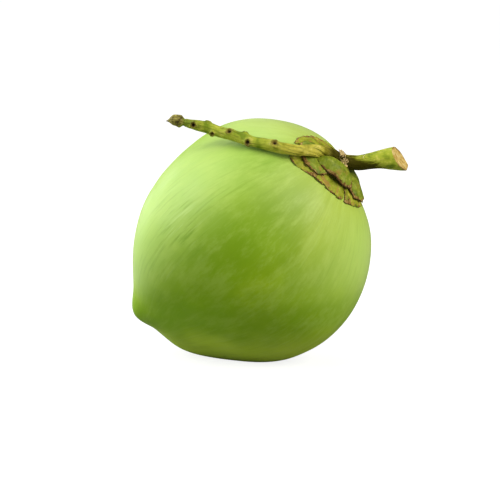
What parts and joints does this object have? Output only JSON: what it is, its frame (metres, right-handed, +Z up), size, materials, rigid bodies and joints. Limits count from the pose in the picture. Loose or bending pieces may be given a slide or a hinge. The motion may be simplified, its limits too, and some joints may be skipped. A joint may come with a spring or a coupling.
{
  "type": "green coconut",
  "caption": "Young green coconut as picked, lying on its flank, with its cap of leathery scales and the piece of flower branch it grew on.",
  "frame": {"origin": "middle of the small flat spot on the husk that the fruit rests on, on the surface it lies on", "axes": "+Z up; +X to the side that the stem end and the cut end of the branch point to; -Y the side that the branch passes in front of"},
  "size_m": [0.1976, 0.1732, 0.1829],
  "materials": {
    "husk_skin": "satin",
    "petal_scale": "matte",
    "sepal_scale": "matte",
    "branch_bark": "matte",
    "torn_fibre": "matte"
  },
  "bodies": {
    "root": {"husk": "husk_skin", "petal_front": "petal_scale", "petal_right": "petal_scale", "petal_back": "petal_scale", "sepal_front": "sepal_scale", "sepal_left": "sepal_scale", "sepal_right": "sepal_scale", "branch": "branch_bark", "bracteole_upper": "torn_fibre", "bracteole_lower": "torn_fibre"}
  },
  "joints": []
}
